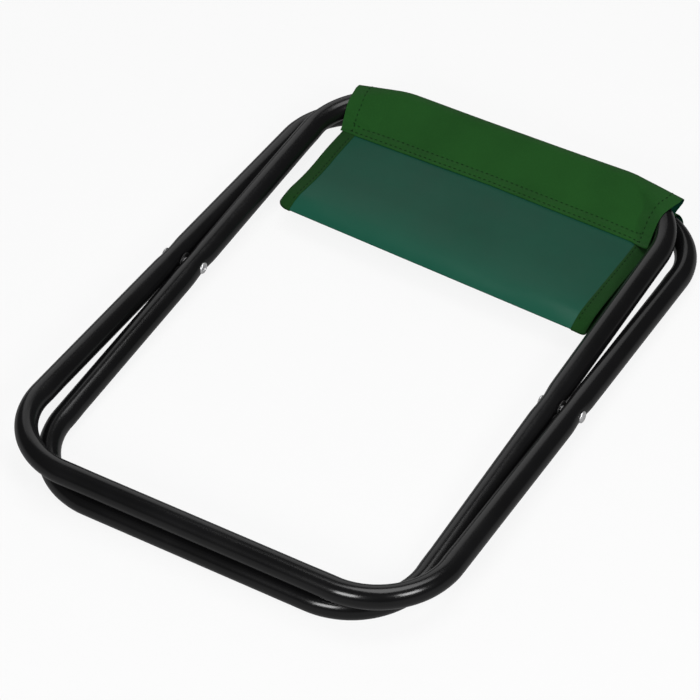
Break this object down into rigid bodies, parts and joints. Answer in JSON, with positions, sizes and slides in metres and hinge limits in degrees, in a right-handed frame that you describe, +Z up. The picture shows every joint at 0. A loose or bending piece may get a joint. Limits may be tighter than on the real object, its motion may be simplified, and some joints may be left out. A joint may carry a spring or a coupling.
{
  "type": "folding camp stool",
  "caption": "Folding stool of two riveted tubular steel loops with a coated cloth seat in sewn sleeves, stored folded flat.",
  "frame": {"origin": "on the ground under the middle of the folded stool's box", "axes": "+X along the pivot to the right, +Y towards the seat end, +Z up from the ground the folded stool lies on"},
  "size_m": [0.327, 0.445, 0.0361],
  "materials": {
    "black_powder_coat": "semi-gloss black powder coat",
    "bare_steel": "plain drawn steel",
    "zinc_plate": "bright zinc plate",
    "coated_cloth": "satin PVC-coated back of green polyester cloth",
    "woven_cloth": "matt woven green polyester",
    "green_thread": "dark green sewing thread"
  },
  "bodies": {
    "outer_frame": {"outer_tube": "black_powder_coat", "outer_tube_spigot": "bare_steel", "right_rivet": "zinc_plate", "left_rivet": "zinc_plate", "right_spacer_washer": "zinc_plate", "left_spacer_washer": "zinc_plate"},
    "inner_frame": {"inner_tube": "black_powder_coat", "inner_tube_spigot": "bare_steel"},
    "seat_upper": {"seat_upper_half": "coated_cloth", "upper_sleeve_edge_seam": "green_thread", "upper_sleeve_inner_seam": "green_thread", "upper_right_side_hem": "woven_cloth", "upper_right_side_seam": "green_thread", "upper_left_side_hem": "woven_cloth", "upper_left_side_seam": "green_thread"},
    "seat_lower": {"seat_lower_half": "coated_cloth", "lower_sleeve_edge_seam": "green_thread", "lower_sleeve_inner_seam": "green_thread", "lower_right_side_hem": "woven_cloth", "lower_right_side_seam": "green_thread", "lower_left_side_hem": "woven_cloth", "lower_left_side_seam": "green_thread"}
  },
  "joints": [
    {"name": "fold", "type": "hinge", "parent": "outer_frame", "child": "inner_frame", "pos_m": [0, 0.00211, 0.01776], "axis": [1, 0, 0], "range_deg": [0, 74.31]},
    {"name": "upper_sleeve_turn", "type": "hinge", "parent": "inner_frame", "child": "seat_upper", "pos_m": [0, 0.21389, 0.02745], "axis": [1, 0, 0], "range_deg": [0, 52.76], "deforming": ["seat_upper_half", "upper_sleeve_edge_seam", "upper_sleeve_inner_seam", "upper_right_side_hem", "upper_right_side_seam", "upper_left_side_hem", "upper_left_side_seam"]},
    {"name": "seat_fold", "type": "hinge", "parent": "seat_upper", "child": "seat_lower", "pos_m": [0, 0.07851, 0.01787], "axis": [1, 0, 0], "range_deg": [-179.82, 0], "deforming": ["seat_lower_half", "lower_sleeve_edge_seam", "lower_sleeve_inner_seam", "lower_right_side_hem", "lower_right_side_seam", "lower_left_side_hem", "lower_left_side_seam"]}
  ],
  "couplings": [
    {"joint": "upper_sleeve_turn", "follows": "fold", "ratio": 0.70988},
    {"joint": "seat_fold", "follows": "fold", "ratio": -2.4198}
  ]
}
